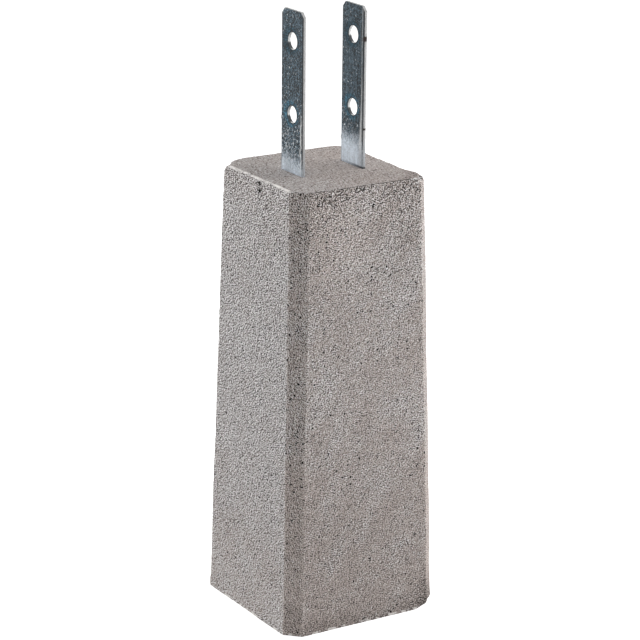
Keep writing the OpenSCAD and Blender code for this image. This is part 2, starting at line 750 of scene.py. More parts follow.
def strap_faces(shape, cell, radius):
    """A strap's vertices and faces before zinc is laid on: two broad faces and the edges between."""
    outline = strap_outline(shape.width, shape.length, shape.cut, cell)
    holes = [circle((0.0, z - shape.low.z), shape.hole_radius, HOLE_POINTS) for z in shape.hole_heights]
    loops = [outline, *holes]
    directions = [ring_normals(loop) for loop in loops]
    radii = [radius] + [0.35 * radius] * len(holes)
    face_loops = [loop - way * size for loop, way, size in zip(loops, directions, radii)]
    inner = strap_points(shape, cell, radius)
    flat = np.vstack([*face_loops, np.array(inner)])
    triangles = counter_clockwise(triangulate(face_loops, inner), flat)

    def in_hole(triangle):
        middle = flat[list(triangle)].mean(0)
        return shape.near_hole(middle, 0.5 * radius)

    triangles = [t for t in triangles if not in_hole(t)]
    half = shape.thickness / 2
    count = len(flat)
    heights = flat[:, 1] + shape.low.z
    sheets = [np.column_stack([np.full(count, x), flat[:, 0], heights]) for x in (-half, half)]
    faces = [(a, c, b) for a, b, c in triangles]
    faces += [(a + count, b + count, c + count) for a, b, c in triangles]
    rings, edge_faces = rounded_edges(shape, loops, directions, radii, count)
    return np.vstack(sheets + rings), faces + edge_faces


def build_strap(node_name, piece_name, settings, material, bead_top, bead_wave, bead_spread, blob):
    """One strap: the bar, then uneven zinc, the run of zinc beside its front edge, and one drip.

    The run goes up to bead_top, wanders by bead_wave and is wider by bead_spread at the foot; blob is
    the drip's y, its height over the block and its size.
    """
    shape = StrapShape(node_name)
    vertices, faces = strap_faces(shape, settings.cell, settings.edge_radius)
    half = shape.thickness / 2
    outer = vertices[:, 0] < 0
    out = np.where(outer, -1.0, 1.0)
    broad = np.isclose(np.abs(vertices[:, 0]), half, atol=1e-7)
    uneven = fractal_at(vertices * np.array([1, 1, 0.5]), 9 * MM, 3, 5.0 + len(piece_name))
    above = vertices[:, 2] - BLOCK_HIGH.z
    wider = bead_spread * (1 - smooth_step(15 * MM, 75 * MM, above))
    wander = bead_wave * fractal_at(vertices * np.array([0, 0, 1]), 9 * MM, 2, 60.0)
    path = shape.bead_y + wander + 0.8 * wider
    run = np.exp(-(((vertices[:, 1] - path) / (0.8 * MM + wider)) ** 2))
    run *= (1 - smooth_step(bead_top - 20 * MM, bead_top, above)) * outer * broad
    run *= 0.85 + 0.3 * uneven
    vertices[:, 0] += out * (0.07 * MM * uneven + settings.bead_height * run) * broad

    y, height, size = blob
    away = np.hypot(vertices[:, 1] - y, above - height)
    swell = np.maximum(0, 1 - (away / size) ** 2) ** 2
    vertices[:, 0] -= 0.5 * size * swell * (vertices[:, 0] < 0.4 * half)
    vertices[:, 1] += 0.25 * size * swell * np.sign(y)
    run = np.maximum(run, 1.2 * swell * (vertices[:, 0] < 0.4 * half))
    vertices[:, 0] += shape.centre_x

    thing = add_mesh(piece_name, vertices, faces, [material])
    set_attribute(thing, "zinc_run", run)
    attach(thing, ROOT)
    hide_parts(node_name)


def join_rings(first, second):
    """Quads between two rings of equal length."""
    after_first = np.roll(first, -1)
    after_second = np.roll(second, -1)
    return list(zip(first, after_first, after_second, second))


def strap_points(shape, cell, radius):
    """Points over a strap's broad face: fine columns at the zinc run, and long steps where it is buried."""
    half = shape.width / 2
    fine = 0.45 * MM
    long = 4 * MM
    buried = BLOCK_HIGH.z - shape.low.z - 8 * MM
    across = [shape.bead_y + fine * k for k in range(-3, 4)]
    y = across[-1] + cell
    while y < half - radius - 0.5 * cell:
        across.append(y)
        y += cell
    up = []
    z = long
    while z < shape.length - radius - 0.5 * cell:
        up.append(z)
        z += cell if z > buried else long
    points = []
    for row, z in enumerate(up):
        for y in across:
            place = np.array([y, z + 0.25 * cell * ((row + len(points)) % 2)])
            cut_off = abs(place[0]) + place[1] > half + shape.length - shape.cut - radius - 0.8 * cell
            low = place[0] < -half + radius + 0.4 * cell
            if not (cut_off or shape.near_hole(place, radius + 0.5 * cell) or low):
                points.append(place)
    return points


# ---------------------------------------------------------------- materials

WHITE = (1.0, 1.0, 1.0, 1.0)
FLOOR_GREY = (0.8, 0.8, 0.8, 1.0)
# Painted shade inside pinholes, cracks and torn hollows in the concrete
HOLE_SHADE = (0.012, 0.010, 0.009, 1.0)
# Painted shade: dark lines where a broad face turns into a hole, and along its long edges
LIP_SHADE = (0.004, 0.009, 0.013, 1.0)
EDGE_SHADE = (0.008, 0.010, 0.012, 1.0)
# Painted shade in the joint between a strap and the concrete; pits in the clean zinc; a dark spot low in
# each hole
CONTACT_SHADE = (0.02, 0.02, 0.02, 1.0)
PIT_DARK = (0.03, 0.03, 0.03, 1.0)
BORE_SPOT = (0.02, 0.025, 0.03, 1.0)
# Rust spots on the right strap's front edge: y, z, radius
RUST_SPOTS = [(-20.0 * MM, 578.4 * MM, 3.3 * MM), (-20.0 * MM, 489.0 * MM, 1.4 * MM)]
# Turn of every pattern, so that no face runs along the planes of the pattern's own grid
TILT = (0.6, 0.5, 0.9)
# The dark spot in a hole lies this far towards the back of its middle and this far below it
SPOT_BACK, SPOT_DOWN = 6.2 * MM, 5.8 * MM


class Nodes:
    """Adds nodes to a material or world and joins them in short calls."""

    def __init__(self, owner):
        owner.use_nodes = True
        self.tree = owner.node_tree
        self.tree.nodes.clear()

    def add(self, kind, inputs=None, **attributes):
        """A new node, with its attributes set and its inputs filled with values or joined to sockets."""
        node = self.tree.nodes.new(kind)
        for name, value in attributes.items():
            setattr(node, name, value)
        for name, value in (inputs or {}).items():
            self.put(node.inputs[name], value)
        return node

    def put(self, socket, value):
        """Fills one input with a value or joins it to another node's output."""
        if isinstance(value, bpy.types.NodeSocket):
            self.tree.links.new(value, socket)
        else:
            socket.default_value = value

    def math(self, operation, first, second=0.0, clamp=False):
        """The result of one sum."""
        node = self.add("ShaderNodeMath", {0: first, 1: second}, operation=operation, use_clamp=clamp)
        return node.outputs[0]

    def sum(self, *parts):
        """All the parts added up."""
        total = parts[0]
        for part in parts[1:]:
            total = self.math("ADD", total, part)
        return total

    def times(self, *parts):
        """All the parts multiplied."""
        product = parts[0]
        for part in parts[1:]:
            product = self.math("MULTIPLY", product, part)
        return product

    def less(self, first, second):
        """first less second."""
        return self.math("SUBTRACT", first, second)

    def inverse(self, share):
        """1 where share is 0, and 0 where it is 1."""
        return self.math("SUBTRACT", 1.0, share)

    def swing(self, pattern, amount):
        """amount times a pattern of 0 to 1 that is moved to lie round 0."""
        return self.times(self.less(pattern, 0.5), amount)

    def most(self, first, second):
        """The larger of two numbers."""
        return self.math("MAXIMUM", first, second)

    def least(self, first, second):
        """The smaller of two numbers."""
        return self.math("MINIMUM", first, second)

    def size(self, value):
        """A number without its sign."""
        return self.math("ABSOLUTE", value)

    def ramp(self, value, low, high, to_low=0.0, to_high=1.0):
        """value, taken smoothly from the range low..high to to_low..to_high."""
        node = self.add(
            "ShaderNodeMapRange",
            {"Value": value, "From Min": low, "From Max": high, "To Min": to_low, "To Max": to_high},
            interpolation_type="SMOOTHSTEP",
        )
        return node.outputs[0]

    def blend(self, share, first, second):
        """A number between two numbers, which have the mix node's sockets 2 and 3."""
        return self.add("ShaderNodeMix", {0: share, 2: first, 3: second}, data_type="FLOAT").outputs[0]

    def mix(self, share, first, second):
        """A colour between two colours, which have the mix node's sockets 6 and 7."""
        return self.add("ShaderNodeMix", {0: share, 6: first, 7: second}, data_type="RGBA").outputs[2]

    def tint(self, color, tone):
        """A colour made lighter or darker by tone."""
        grey = self.add("ShaderNodeCombineXYZ", {0: tone, 1: tone, 2: tone}).outputs[0]
        return self.add("ShaderNodeVectorMath", {0: color, 1: grey}, operation="MULTIPLY").outputs[0]

    def noise(self, vector, size, detail=2.0, roughness=0.5, distortion=0.0):
        """Noise whose lumps are about size across."""
        fields = {"Detail": detail, "Roughness": roughness, "Distortion": distortion}
        node = self.add("ShaderNodeTexNoise", {"Vector": vector, "Scale": 1.0 / size, **fields})
        return node.outputs[0]

    def worms(self, across, up, pitch, slant, bias):
        """A maze of ridges about pitch millimetres apart, on a plane of two coordinates; round 0.5."""
        waves = 1.5  # ridges to each unit of the pattern
        plane = self.add("ShaderNodeCombineXYZ", {0: across, 1: up}).outputs[0]
        fields = {"Frequency": waves, "Anisotropy": bias, "Orientation": math.radians(slant)}
        scale = 1.0 / (pitch * MM * waves)
        node = self.add("ShaderNodeTexGabor", {"Vector": plane, "Scale": scale, **fields}, gabor_type="2D")
        return node.outputs["Value"]

    def attribute(self, name):
        """A number stored on the mesh."""
        return self.add("ShaderNodeAttribute", attribute_name=name).outputs["Fac"]


class Surface(Nodes):
    """Nodes of a material, with the place and the facing of the point that is drawn."""

    def __init__(self, name):
        self.material = bpy.data.materials.new(name)
        super().__init__(self.material)
        place = self.add("ShaderNodeTexCoord")
        self.where = place.outputs["Object"]
        self.position = self.add("ShaderNodeSeparateXYZ", {0: self.where}).outputs
        self.facing = self.add("ShaderNodeSeparateXYZ", {0: place.outputs["Normal"]}).outputs

    def stretch(self, longer=(1.0, 1.0, 1.0), turn=(0.0, 0.0, 0.0)):
        """Coordinates that draw a pattern out along x, y and z, with those axes turned by turn degrees."""
        drawn = self.add(
            "ShaderNodeMapping",
            {"Vector": self.where, "Rotation": [math.radians(a) for a in turn], "Scale": longer},
            vector_type="TEXTURE",
        )
        tilted = self.add(
            "ShaderNodeVectorRotate",
            {"Vector": drawn.outputs[0], "Rotation": TILT},
            rotation_type="EULER_XYZ",
        )
        return tilted.outputs[0]

    def above_block(self, low, high, to_low=0.0, to_high=1.0):
        """A ramp over the point's height, from low to high millimetres above the top of the block."""
        top = BLOCK_HIGH.z
        return self.ramp(self.position[2], top + low * MM, top + high * MM, to_low, to_high)

    def distance(self, y, z, squash=1.0):
        """How far the point is from y, z, whatever its x; squash below 1 counts less of the way along y."""
        dy = self.times(self.less(self.position[1], y), squash)
        dz = self.less(self.position[2], z)
        return self.math("SQRT", self.sum(self.times(dy, dy), self.times(dz, dz)))

    def shade(self, relief, strength, depth, **inputs):
        """Ends the material with a shader that has these inputs and a bump of this relief."""
        bump = self.add("ShaderNodeBump", {"Strength": strength, "Distance": depth, "Height": relief})
        named = {name.replace("_", " "): value for name, value in inputs.items()}
        shader = self.add("ShaderNodeBsdfPrincipled", {**named, "Normal": bump.outputs[0]})
        self.add("ShaderNodeOutputMaterial", {"Surface": shader.outputs[0]})
        return self.material


def rgba(color):
    """A colour property as the four numbers that a socket takes."""
    return (*color, 1.0)


class Concrete(Surface):
    """Nodes of the concrete: the zones of the block, each 0 to 1, and the patterns of its sand."""

    def __init__(self):
        super().__init__("dry_cast_concrete")
        turned = self.times(self.facing[0], self.facing[1])
        self.top = self.ramp(self.facing[2], 0.75, 0.95)
        self.side = self.inverse(self.top)
        self.front = self.ramp(self.size(self.facing[1]), 0.75, 0.95)
        self.flat = self.ramp(self.size(turned), 0.3, 0.45)
        self.rising = self.ramp(turned, -0.1, 0.1)
        self.upper = self.above_block(-110, 0)
        self.lower = self.inverse(self.ramp(self.position[2], 0.0, 0.6 * BLOCK_HIGH.z))

        # rough and calm patches, rougher towards the rim
        self.clouds = self.noise(self.stretch((1.0, 1.0, 1.6), (0.0, 40.0, 0.0)), 30 * MM, 3.0, 0.6)
        rough = self.sum(self.clouds, self.times(self.upper, 0.16), self.times(self.lower, -0.05))
        self.rough = self.ramp(rough, 0.40, 0.72)

        # sand: fine crumbs, clumps and a broad mottle, all dragged a little askew
        askew = self.stretch((1.0, 1.8, 1.0), (-27.0, 0.0, 0.0))
        self.swept = self.stretch((1.35, 1.0, 1.0), (0.0, -35.0, 0.0))
        struck = self.noise(self.stretch((1.0, 2.0, 1.0)), 1.3 * MM, 1.0, 0.5, 0.4)
        fine = [self.noise(drawn, 0.82 * MM, 0.0) for drawn in (askew, self.swept)]
        self.sand = self.blend(self.top, self.blend(self.front, *fine), struck)
        self.crumbs = self.less(self.sand, 0.5)
        self.mottle = self.less(self.noise(self.swept, 5.5 * MM, 2.0, 0.6), 0.5)
        beside = self.noise(askew, 1.5 * MM, 1.0, 0.5, 0.4)
        before = self.noise(self.swept, 1.7 * MM, 1.0, 0.5, 0.4)
        self.lumps = self.less(self.blend(self.front, beside, before), 0.5)
        self.crevice = self.inverse(self.ramp(self.size(self.lumps), 0.0, 0.05))
        self.maze, self.drag = sand_maze(self, self.times(self.lumps, 2.5 * MM))


def sand_maze(n, bend):
    """Worm-like ridges of sand on the sides, and longer marks dragged over them; each -0.5 to 0.5."""
    x = n.sum(n.position[0], bend)
    y = n.sum(n.position[1], bend)
    z = n.less(n.position[2], bend)
    beside = n.times(y, 1 / 1.8)
    across = n.times(x, 1 / 1.2)
    askew = n.times(n.blend(n.rising, n.sum(x, y), n.less(x, y)), 0.7)
    ridges = n.blend(n.front, n.worms(beside, z, 2.1, 40, 0.12), n.worms(across, z, 2.0, 120, 0.2))
    ridges = n.blend(n.flat, ridges, n.worms(askew, z, 2.1, 50, 0.15))
    marks = n.blend(n.front, n.worms(beside, z, 4.6, 40, 0.2), n.worms(across, z, 3.9, 135, 0.6))
    marks = n.blend(n.flat, marks, n.worms(askew, z, 4.2, 50, 0.2))
    return n.less(ridges, 0.5), n.less(marks, 0.5)


def crack_mask(n):
    """1 in the two pits and along the crack under them on the -X face, and 0 elsewhere."""
    x, y, z = n.position
    mask = 0.0
    for pit_y, below, radius in CRACK_PITS:
        away = n.distance(pit_y, BLOCK_HIGH.z - below, 0.65)
        ragged = n.sum(away, n.times(n.lumps, 8 * MM), n.times(n.crumbs, 5 * MM))
        mask = n.most(mask, n.inverse(n.ramp(ragged, 0.75 * radius, radius)))
    (head_y, head, _), (foot_y, foot) = CRACK_PITS[0], CRACK_FOOT
    along = n.ramp(z, BLOCK_HIGH.z - foot, BLOCK_HIGH.z - head, foot_y, head_y)
    aside = n.size(n.sum(y, n.times(along, -1.0), n.times(n.lumps, 12 * MM)))
    hairline = n.inverse(n.ramp(aside, 0.25 * MM, 0.8 * MM))
    over_foot = n.ramp(z, BLOCK_HIGH.z - foot, BLOCK_HIGH.z - 0.6 * foot)
    under_rim = n.above_block(-0.5, -2.0)
    mask = n.most(mask, n.times(hairline, over_foot, under_rim, 0.55))
    return n.times(mask, n.ramp(x, -0.8 * TOP_HALF, -0.95 * TOP_HALF))


def patch(n, across, up, centre, reach):
    """1 in the middle of a soft oval patch, and 0 from its edge on; centre and reach in millimetres."""
    beside = n.times(n.less(across, centre[0] * MM), 1.0 / (reach[0] * MM))
    above = n.times(n.less(up, centre[1] * MM), 1.0 / (reach[1] * MM))
    return n.ramp(n.math("SQRT", n.sum(n.times(beside, beside), n.times(above, above))), 1.0, 0.1)


def patches_and_painted_light(n):
    """Paler and darker areas: painted light on the top round the post, and patches at the top's outer
    corner, under the -Y rim, at the foot.
    """
    x, y, z = n.position
    # painted light on the top round the post, where the straps would shade it
    painted_light_round_post = n.times(patch(n, x, y, (8, 5), (90, 52)), 0.25)
    corner = n.times(n.ramp(n.less(x, y), 100 * MM, 135 * MM), -0.35)
    # a paler and a darker patch high on the front face
    pale_patch = n.times(patch(n, x, z, (-30, 395), (52, 80)), 0.17)
    dark_patch = n.times(patch(n, x, z, (45, 405), (34, 85)), -0.16)
    rim = n.times(n.above_block(-30, -8), -0.07)
    base_line = n.times(n.ramp(z, 20 * MM, 4 * MM), -0.20)
    base_corner = n.times(patch(n, x, z, (84, 10), (36, 40)), -0.60)
    # darker towards the bottom on the flat at +X
    dark_low_flat = n.times(n.ramp(x, 40 * MM, 60 * MM), n.ramp(z, 50 * MM, 5 * MM, 0.0, -0.74))
    dull = n.times(n.ramp(x, -40 * MM, -60 * MM), n.ramp(z, 44 * MM, 18 * MM, 0.0, -0.25))
    foot = n.times(n.ramp(z, 90 * MM, 20 * MM), n.blend(n.front, 0.09, 0.02))
    return n.sum(
        n.times(n.top, n.sum(painted_light_round_post, corner)),
        n.times(n.front, n.sum(pale_patch, dark_patch, rim, base_line, base_corner)),
        n.times(n.flat, n.sum(dark_low_flat, dull)),
        n.times(n.side, foot),
    )


def sand_depth_shade(n):
    """How high the sand stands at a point, about -1 to 1; as tone it is partly the sand's own grain and
    partly painted shade in the low crevices.
    """
    specks = n.ramp(n.sand, 0.36, 0.26)
    drag_gain = n.sum(n.times(n.side, n.blend(n.front, 0.8, 1.0)), n.times(n.upper, n.front, 0.4))
    depth = n.sum(
        n.times(n.maze, n.blend(n.top, n.blend(n.front, 3.8, 3.6), 0.0)),
        n.times(n.drag, drag_gain),
        n.times(n.crumbs, n.blend(n.top, n.blend(n.front, 2.2, 1.7), 2.2)),
        n.times(n.crevice, n.ramp(n.rough, 0.0, 1.0, 0.4, 1.0), n.blend(n.front, -0.24, -0.14)),
        n.times(n.lumps, n.blend(n.flat, 0.2, 0.9)),
        n.times(specks, n.blend(n.top, -0.4, -0.15)),
        0.12,
    )
    grip = n.sum(
        n.times(n.rough, n.blend(n.front, 0.20, 0.45)),
        n.times(n.upper, 0.14),
        n.times(n.lower, -0.22),
        n.blend(n.front, 1.0, 0.92),
    )
    depth = n.times(depth, grip)
    return n.least(depth, n.sum(n.times(depth, 1.4), 0.05))


def sand_color(n, settings, depth):
    """Colour of the sand: grey where it stands high, and browner low between the grains, where painted shade
    also darkens it.
    """
    x, _, z = n.position
    stain = n.times(n.ramp(x, 10 * MM, -60 * MM), n.ramp(z, 0.62 * BLOCK_HIGH.z, 0.98 * BLOCK_HIGH.z))
    stain = n.times(stain, n.front, n.ramp(n.clouds, 0.30, 0.62))
    arris = n.times(n.attribute("arris"), n.ramp(n.noise(n.where, 2.2 * MM, 1.0), 0.45, 0.6))
    marks = patches_and_painted_light(n)
    cloud_gain = n.blend(n.front, 0.3, n.sum(n.times(n.upper, 0.4), 0.4))
    tone = n.sum(
        # the sand's own grain, with painted shade darkening the low crevices between the grains
        depth,
        n.swing(n.clouds, n.blend(n.top, cloud_gain, 0.1)),
        n.times(n.rough, -0.04),
        n.times(n.lower, n.blend(n.front, -0.01, -0.17)),
        n.times(arris, 0.30),
        n.times(stain, -0.28),
        n.times(n.mottle, n.blend(n.top, n.blend(n.front, 0.15, 0.40), 0.0)),
        n.times(n.front, 0.09),
        n.times(n.flat, 0.12),
        marks,
        # the top face is set a little lighter: partly its smoother finish, partly painted light from above
        n.blend(n.top, 0.975, 1.03),
    )
    far_side = n.inverse(n.ramp(x, 15 * MM, -50 * MM))
    dusty = n.sum(n.most(n.times(n.front, 0.50), n.times(n.flat, 0.66)), n.times(n.top, far_side, 0.3))
    fresh = n.sum(
        depth,
        n.times(stain, -0.5),
        n.times(n.upper, -0.22),
        n.times(n.lower, -0.30),
        n.times(dusty, -1.0),
        n.times(n.least(marks, 0.0), 0.9),
        n.times(n.top, -0.12),
        n.swing(n.clouds, n.blend(n.top, 1.1, 0.3)),
    )
    cement = n.mix(n.ramp(fresh, -0.7, 0.35), rgba(settings.warm), rgba(settings.cool))
    return n.tint(cement, n.least(n.most(tone, 0.10), 2.20))


def sand_holes(n):
    """Pinholes in the sides, and torn hollows close under the -Y rim; 1 inside one and 0 elsewhere."""
    pores = n.add("ShaderNodeTexVoronoi", {"Vector": n.stretch(), "Scale": 1.0 / (6 * MM)})
    parts = n.add("ShaderNodeSeparateColor", {0: pores.outputs["Color"]}).outputs
    rim_zone = n.above_block(-45, -8)
    placed = n.sum(n.times(n.flat, 0.14), n.times(rim_zone, 0.28), n.blend(n.front, 0.09, 0.0))
    scatter = n.sum(parts[1], placed)
    away = n.sum(pores.outputs["Distance"], n.times(n.maze, 0.35))
    pinholes = n.times(n.inverse(n.ramp(away, 0.13, 0.24)), n.ramp(scatter, 0.83, 0.85), n.side)
    under_rim = n.above_block(-34, -7)
    gouge = n.sum(n.noise(n.swept, 3.0 * MM, 1.0), n.times(n.maze, 0.3), n.times(under_rim, -0.05))
    gouge = n.times(n.ramp(gouge, 0.35, 0.27), under_rim, n.front)
    return n.most(pinholes, n.times(gouge, 0.85))


def burr_line(n):
    """Pale cement: the burr, a broken line just over the -X rim, and chips along the foot; 0 to 1."""
    x, _, z = n.position
    over = n.ramp(x, -TOP_HALF + 2.7 * MM, -TOP_HALF + 1.7 * MM)
    above = n.above_block(-1.6, -0.8)
    broken = n.ramp(n.noise(n.where, 8 * MM, 3.0, 0.7), 0.33, 0.44)
    line = n.math("MULTIPLY", n.times(over, above, broken), n.attribute("rim"), True)
    chips = n.times(n.ramp(z, 3.6 * MM, 2.4 * MM), n.ramp(n.noise(n.where, 5 * MM, 2.0), 0.50, 0.60))
    return n.most(line, n.times(chips, n.side, 0.7))


def concrete_material(settings):
    """Dry-cast concrete: packed sand with brown crevices and cloudy patches, and a smoother top face."""
    n = Concrete()
    color = sand_color(n, settings, sand_depth_shade(n))
    holes = n.most(sand_holes(n), crack_mask(n))
    # painted shade deep in the modelled pits and torn hollows
    color = n.mix(n.times(n.attribute("cavity"), 0.6), color, rgba(settings.cavity))
    # painted shade inside the pinholes, the crack and the torn hollows under the -Y rim
    color = n.mix(holes, color, HOLE_SHADE)
    color = n.mix(burr_line(n), color, rgba(settings.burr))
    relief = n.sum(n.times(n.crumbs, 2.6), n.lumps, n.times(n.crevice, -0.3), n.times(holes, -1.5))
    roughness = n.ramp(n.sand, 0.3, 0.7, 0.97, 0.86)
    return n.shade(relief, 1.0, 0.30 * MM, Base_Color=color, Roughness=roughness, Specular_IOR_Level=0.25)


class Zinc(Surface):
    """Nodes of the zinc: its patterns, and the zones of a strap, each 0 to 1."""

    def __init__(self):
        super().__init__("hot_dip_zinc")
        self.speckle = self.noise(self.stretch((1.0, 1.6, 1.3)), 0.95 * MM, 1.0, 0.5, 0.3)
        self.patches = self.noise(self.stretch((1.0, 1.0, 2.8)), 10 * MM, 3.0, 0.65)
        self.mottle = self.noise(self.stretch((1.0, 1.5, 1.8)), 1.4 * MM, 2.0, 0.6, 0.6)
        self.rolled = self.noise(self.stretch((1.0, 1.0, 30.0)), 1.6 * MM, 2.0, 0.6)
        self.left = self.inverse(self.ramp(self.position[0], -1 * MM, 1 * MM))
        self.broad = self.ramp(self.size(self.facing[0]), 0.35, 0.8)
        self.narrow = self.inverse(self.broad)
        self.holes = StrapShape("strap_left").hole_heights
        self.away = self.least(*[self.distance(0.0, height) for height in self.holes])
        self.wall = self.inverse(self.ramp(self.away, 8.6 * MM, 8.9 * MM))
        self.tone = self.sum(
            self.swing(self.speckle, self.blend(self.left, 7.0, 12.0)),
            self.swing(self.mottle, 6.0),
            self.swing(self.rolled, 3.6),
            self.swing(self.patches, 1.2),
            self.blend(self.left, 1.12, 1.0),
        )


def fleck_mask(n):
    """White flecks: a few everywhere, and many just above the foot; 0 to 1."""
    low = n.inverse(n.above_block(12, 95))
    low = n.times(low, n.ramp(n.left, 0.0, 1.0, 0.5, 1.0))
    worms = n.noise(n.stretch((1.0, 1.4, 2.2)), 1.05 * MM, 1.0, 0.6, 0.5)
    return n.ramp(n.sum(worms, n.times(low, 0.12), n.position[1]), 0.68, 0.74)


def painted_reflection_haze(n):
    """Pale haze over the foot, a painted reflection of the concrete top, higher on the right strap and
    towards its back edge; 0 to 1.
    """
    _, y, z = n.position
    reach = n.sum(
        z,
        n.swing(n.patches, 12 * MM),
        n.times(y, -0.05),
        n.times(n.left, 14 * MM),
        n.swing(n.mottle, 26 * MM),
        n.swing(n.rolled, 14 * MM),
    )
    return n.inverse(n.ramp(reach, BLOCK_HIGH.z + 12 * MM, BLOCK_HIGH.z + 37 * MM))


def hole_zinc(n, color, ring, settings):
    """Thick blue-grey zinc round the holes, with painted shade darkening the ring round the upper hole and a
    painted shade line at the lip.
    """
    # painted shade: the ring is darker round the upper hole than round the lower one
    ring_shade = n.ramp(n.position[2], n.holes[0], n.holes[1], 2.0, 0.9)
    thick = n.tint(settings.ring, n.times(n.most(n.tone, 0.3), ring_shade))
    color = n.mix(n.times(ring, 0.8), color, thick)
    # painted shade along the lip of each hole
    lip = n.ramp(n.sum(n.away, n.swing(n.mottle, 2 * MM)), 10.2 * MM, 9.4 * MM)
    return n.mix(n.times(lip, 0.8), color, LIP_SHADE)


def painted_edge_shade(n, reflection_haze):
    """Painted shade: dark lines on the broad faces beside the two long edges, where they roll over; 0 to 1.
    """
    y = n.position[1]
    half = (STRAP_HIGH.y - STRAP_LOW.y) / 2
    front_line = n.ramp(y, 2.6 * MM - half, 1.8 * MM - half)
    back_line = n.times(n.ramp(y, half - 1.9 * MM, half - 1.0 * MM), 0.6)
    return n.times(n.broad, n.most(front_line, back_line), n.ramp(reflection_haze, 0.0, 1.0, 0.9, 0.25))


def zinc_runs_and_highlights(n, color, ring, reflection_haze, pale, settings):
    """Lays clean zinc on the runs, with painted highlights on the edges and a painted reflection on the hole
    bores, small dark pits, and painted shade along the joint at the right foot.
    """
    run = n.attribute("zinc_run")
    # the narrow faces and hole bores: a painted highlight on the edges and a painted reflection on the bore
    # walls
    edge = n.times(n.narrow, n.inverse(n.times(ring, n.inverse(n.wall))))
    faded = n.above_block(100, 75, 0.55, 1.0)
    faded = n.less(faded, n.swing(n.patches, 1.2))
    clean = n.math("MAXIMUM", edge, n.times(run, faded), True)
    foot_zone = n.above_block(80, 20)
    # painted highlight on the run near the foot, and painted reflection on the walls of the holes
    lit = n.sum(n.times(run, foot_zone, 0.7), n.times(n.wall, n.narrow, 0.6))
    worn = n.tint(settings.bright, n.sum(n.swing(n.speckle, 1.2), lit, 1.0))
    worn = n.mix(n.times(reflection_haze, 0.4), worn, pale)
    color = n.mix(n.times(clean, 0.95), color, worn)
    # painted shade along the joint where the right strap enters the concrete, darker towards its front edge
    foot = n.above_block(2.2, 0.8)
    foot = n.times(foot, n.inverse(n.left), n.ramp(n.position[1], 16 * MM, -16 * MM, 0.15, 1.0))
    color = n.mix(n.times(foot, 0.8), color, CONTACT_SHADE)
    pit = n.times(n.ramp(n.mottle, 0.30, 0.24), n.most(clean, n.times(reflection_haze, 0.8)))
    return n.mix(n.times(pit, 0.8), color, PIT_DARK)


def bore_dark_spot(n):
    """A dark spot low in each hole, on the side away from the front edge; 0 to 1."""
    dark_spot = 0.0
    for height in n.holes:
        away = n.distance(SPOT_BACK, height - SPOT_DOWN)
        dark_spot = n.most(dark_spot, n.inverse(n.ramp(away, 3.0 * MM, 5.0 * MM)))
    return n.times(dark_spot, n.wall, 0.9)


def rust_mask(n):
    """Rust spots, on the right strap only; 0 to 1."""
    rusty = 0.0
    for y, z, radius in RUST_SPOTS:
        ragged = n.sum(n.distance(y, z), n.swing(n.speckle, 2.0 * MM))
        rusty = n.most(rusty, n.inverse(n.ramp(ragged, 0.5 * radius, radius)))
    return n.times(rusty, n.inverse(n.left))


def zinc_material(settings):
    """Hot-dip zinc: dull and speckled, clean on the runs, with painted highlights on the edges and a painted
    reflection of the concrete top hazing the foot.
    """
    n = Zinc()
    color = n.tint(settings.dull, n.most(n.tone, 0.12))
    fleck = fleck_mask(n)
    color = n.mix(n.times(fleck, 0.85), color, rgba(settings.fleck))
    reflection_haze = painted_reflection_haze(n)
    paleness = n.sum(n.swing(n.patches, 1.1), n.swing(n.speckle, 0.7), n.swing(n.rolled, 0.6), 1.0)
    pale = n.tint(settings.block_reflection, paleness)
    # painted reflection of the concrete top: the pale haze over each strap's foot
    color = n.mix(n.times(reflection_haze, 0.92), color, pale)
    reach = n.sum(n.away, n.times(n.position[1], -0.16), n.swing(n.patches, 9 * MM))
    ring = n.inverse(n.ramp(reach, 11.5 * MM, 15.0 * MM))
    color = hole_zinc(n, color, ring, settings)
    color = n.mix(painted_edge_shade(n, reflection_haze), color, EDGE_SHADE)
    color = zinc_runs_and_highlights(n, color, ring, reflection_haze, pale, settings)
    color = n.mix(bore_dark_spot(n), color, BORE_SPOT)
    rusty = rust_mask(n)
    color = n.mix(n.times(rusty, 0.95), color, rgba(settings.rust))
    relief = n.sum(n.speckle, n.times(n.patches, 0.6), n.times(fleck, 0.8))
    roughness = n.ramp(n.speckle, 0.3, 0.7, 0.42, 0.62)
    metal = n.less(0.55, n.times(n.most(reflection_haze, rusty), 0.40))
    shine = {"Roughness": roughness, "Metallic": metal, "Specular_IOR_Level": 0.1}
    return n.shade(relief, 0.6, 0.15 * MM, Base_Color=color, **shine)


def seen_directly(n):
    """1 for what the camera sees straight or in a reflection, and 0 for light that bounces about."""
    path = n.add("ShaderNodeLightPath")
    seen = n.most(path.outputs["Is Camera Ray"], path.outputs["Is Glossy Ray"])
    return n.most(seen, path.outputs["Is Transmission Ray"])


def floor_material():
    """Pale floor that looks white and keeps the object's shadow."""
    material = bpy.data.materials.new("studio_floor")
    n = Nodes(material)
    matt = n.add("ShaderNodeBsdfDiffuse", {"Color": FLOOR_GREY})
    glow = n.add("ShaderNodeEmission", {"Color": WHITE, "Strength": 0.8})
    both = n.add("ShaderNodeAddShader", {0: matt.outputs[0], 1: glow.outputs[0]})
    pick = n.add("ShaderNodeMixShader", {0: seen_directly(n), 1: matt.outputs[0], 2: both.outputs[0]})
    n.add("ShaderNodeOutputMaterial", {"Surface": pick.outputs[0]})
    return material


# ---------------------------------------------------------------- operators


